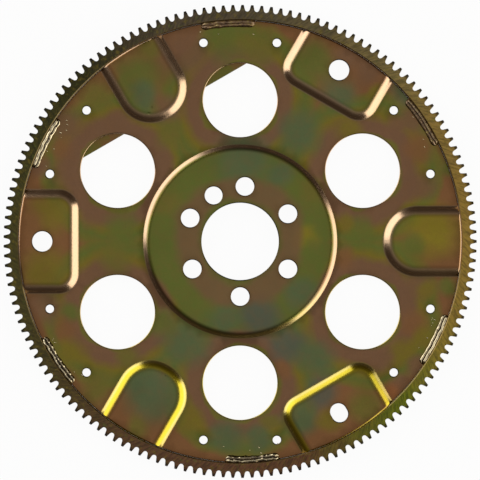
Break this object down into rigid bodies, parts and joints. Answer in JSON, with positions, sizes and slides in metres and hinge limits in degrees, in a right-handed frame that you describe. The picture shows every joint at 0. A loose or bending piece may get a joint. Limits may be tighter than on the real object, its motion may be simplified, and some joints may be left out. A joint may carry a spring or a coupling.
{
  "type": "flexplate",
  "caption": "Stamped steel flexplate with a toothed starter ring, raised converter pads, a hub boss for the crank bolts, lightening holes and a balance weight on its back.",
  "frame": {"origin": "on the axis of rotation, at the back face of the ring gear, on which the part lies", "axes": "+Z along the axis of rotation, towards the side on which the pads and the hub boss are raised; one stiffening pad points along +X"},
  "size_m": [0.3264, 0.3264, 0.0112],
  "materials": {
    "plated_sheet": "yellow zinc chromate plating, satin, with brown, olive and green shades",
    "plated_ring": "yellow zinc chromate plating over turned steel, grainy satin",
    "plated_weight": "yellow zinc chromate plating, satin",
    "weld_bead": "plated weld bead, rippled and glossy"
  },
  "bodies": {
    "root": {"disc": "plated_sheet", "ring_gear": "plated_ring", "balance_weight": "plated_weight", "ring_weld_1": "weld_bead", "ring_weld_2": "weld_bead", "ring_weld_3": "weld_bead", "ring_weld_4": "weld_bead", "ring_weld_5": "weld_bead", "ring_weld_6": "weld_bead", "weight_weld_1": "weld_bead", "weight_weld_2": "weld_bead", "weight_weld_3": "weld_bead", "weight_weld_4": "weld_bead"}
  },
  "joints": []
}
